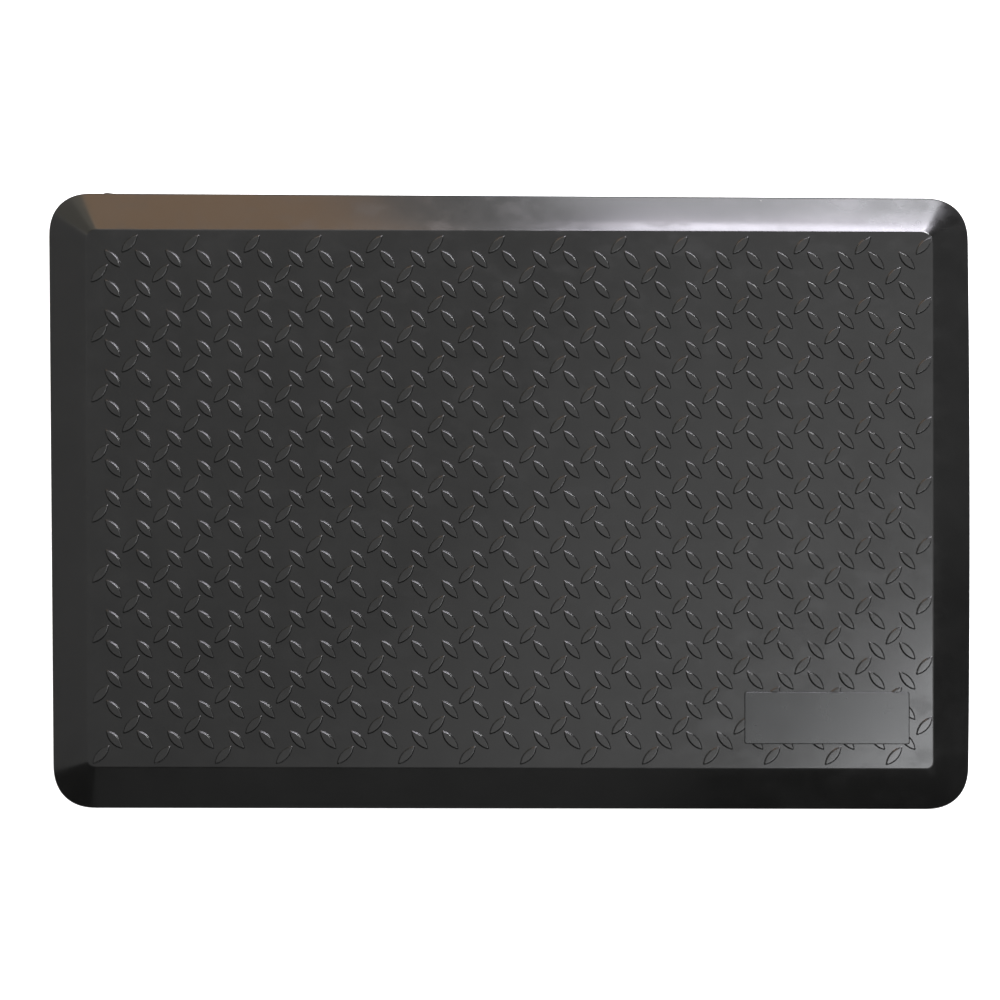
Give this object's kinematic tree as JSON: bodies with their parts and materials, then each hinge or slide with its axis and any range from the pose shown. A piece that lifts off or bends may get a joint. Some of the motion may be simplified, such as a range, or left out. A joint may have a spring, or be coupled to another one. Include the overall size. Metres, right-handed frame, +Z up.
{
  "type": "anti fatigue mat",
  "caption": "Rectangular cushioned standing mat with bevelled edges, rounded corners, a raised diamond tread and a blank name plate near one corner.",
  "frame": {"origin": "centre of the mat's footprint, on the floor", "axes": "+X along the mat's length, +Y across it away from the edge the name plate is near, +Z up; the name plate is towards +X and -Y"},
  "size_m": [0.9144, 0.6096, 0.02],
  "materials": {
    "moulded_skin": "satin black moulded polyurethane skin",
    "foam": "dull charcoal polyurethane foam",
    "grip_rubber": "matt black non-slip sheet",
    "plate_skin": "satin dark grey blank plate"
  },
  "bodies": {
    "root": {"tread_cover": "moulded_skin", "foam_core": "foam", "grip_base": "grip_rubber", "name_plate": "plate_skin"}
  },
  "joints": []
}
